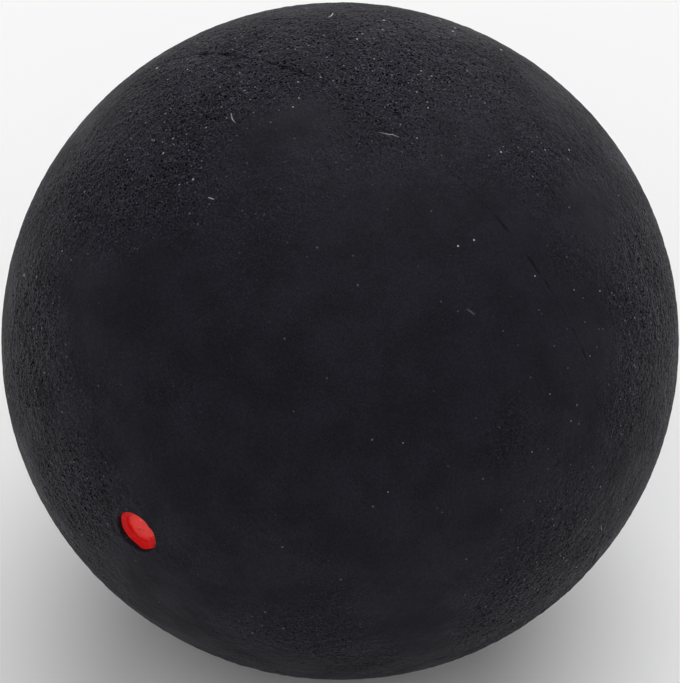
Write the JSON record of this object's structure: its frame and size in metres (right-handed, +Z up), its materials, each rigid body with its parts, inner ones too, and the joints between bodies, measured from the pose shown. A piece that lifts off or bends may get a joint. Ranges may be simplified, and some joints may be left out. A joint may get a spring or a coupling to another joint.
{
  "type": "squash ball",
  "caption": "Hollow black rubber ball of two bonded half shells, with a fine seam round the middle and a small red painted dot in a dimple.",
  "frame": {"origin": "centre of the ball, on the middle of the seam", "axes": "-Y through the middle of the speed dot, the seam in the XZ plane, +Z up, +X to the right when the dot is looked at from the front"},
  "size_m": [0.04, 0.0399, 0.04],
  "materials": {
    "black_rubber": "matte",
    "rubber_cement": "matte",
    "red_paint": "satin"
  },
  "bodies": {
    "root": {"dotted_half_shell": "black_rubber", "plain_half_shell": "black_rubber", "seam_bond": "rubber_cement", "speed_dot": "red_paint"}
  },
  "joints": []
}
